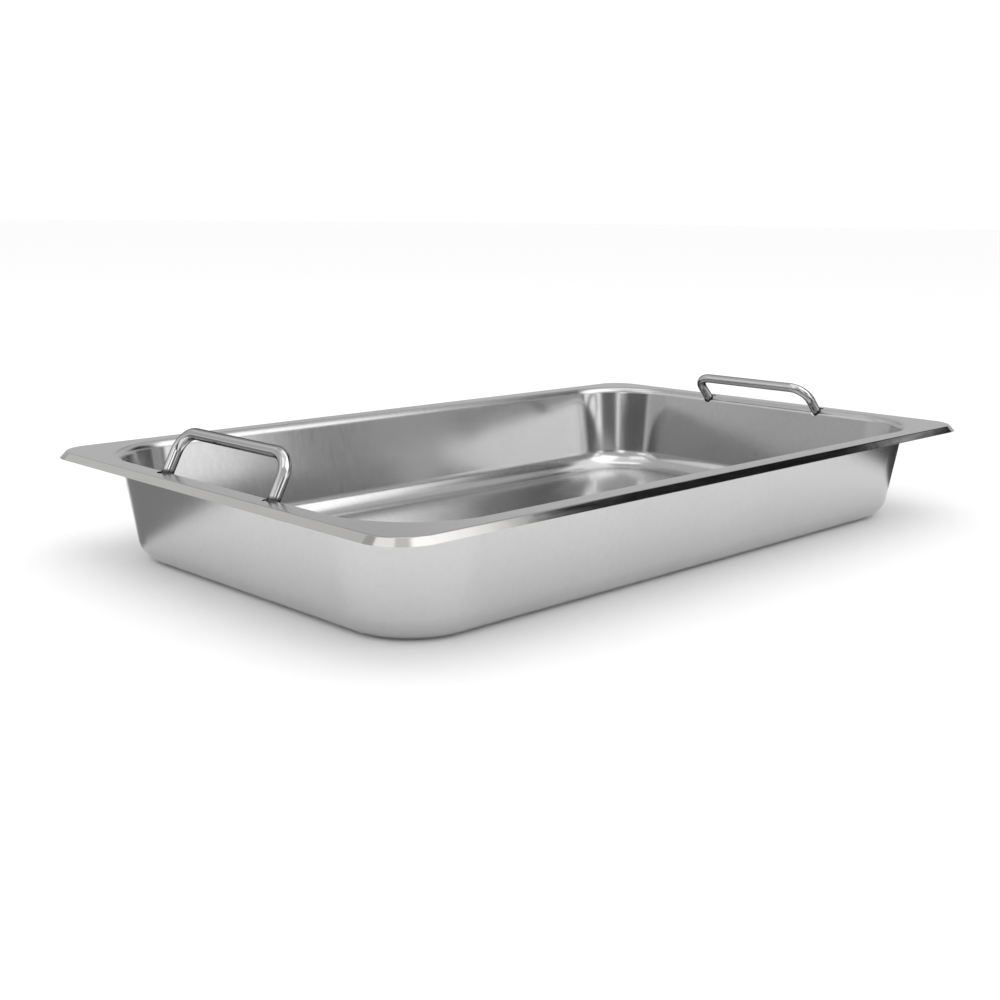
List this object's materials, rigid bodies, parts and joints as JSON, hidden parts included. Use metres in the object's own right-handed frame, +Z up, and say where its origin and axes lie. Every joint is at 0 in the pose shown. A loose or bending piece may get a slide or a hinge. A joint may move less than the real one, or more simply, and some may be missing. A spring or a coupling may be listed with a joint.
{
  "type": "deli food pan",
  "caption": "Shallow full-size stainless food pan with a flat rim and a swinging wire handle at each short end, for holding and carrying food.",
  "frame": {"origin": "centre of the flat base, on its underside", "axes": "+X along the pan's long side, +Y across it, +Z up out of the open top"},
  "size_m": [0.53, 0.325, 0.0897],
  "materials": {
    "pan_steel": "satin stainless steel with a polished lip",
    "handle_wire": "polished stainless wire",
    "eye_steel": "plain rolled stainless strip"
  },
  "bodies": {
    "pan": {"pan_body": "pan_steel", "hinge_eye_left_front": "eye_steel", "hinge_eye_left_back": "eye_steel", "hinge_eye_right_front": "eye_steel", "hinge_eye_right_back": "eye_steel"},
    "left_handle": {"handle_left": "handle_wire"},
    "right_handle": {"handle_right": "handle_wire"}
  },
  "joints": [
    {"name": "left_handle_swing", "type": "hinge", "parent": "pan", "child": "left_handle", "pos_m": [-0.25119, 0, 0.06015], "axis": [0, 1, 0], "range_deg": [-27.6, 16.7]},
    {"name": "right_handle_swing", "type": "hinge", "parent": "pan", "child": "right_handle", "pos_m": [0.25119, 0, 0.06015], "axis": [0, -1, 0], "range_deg": [-44.3, 0]}
  ]
}
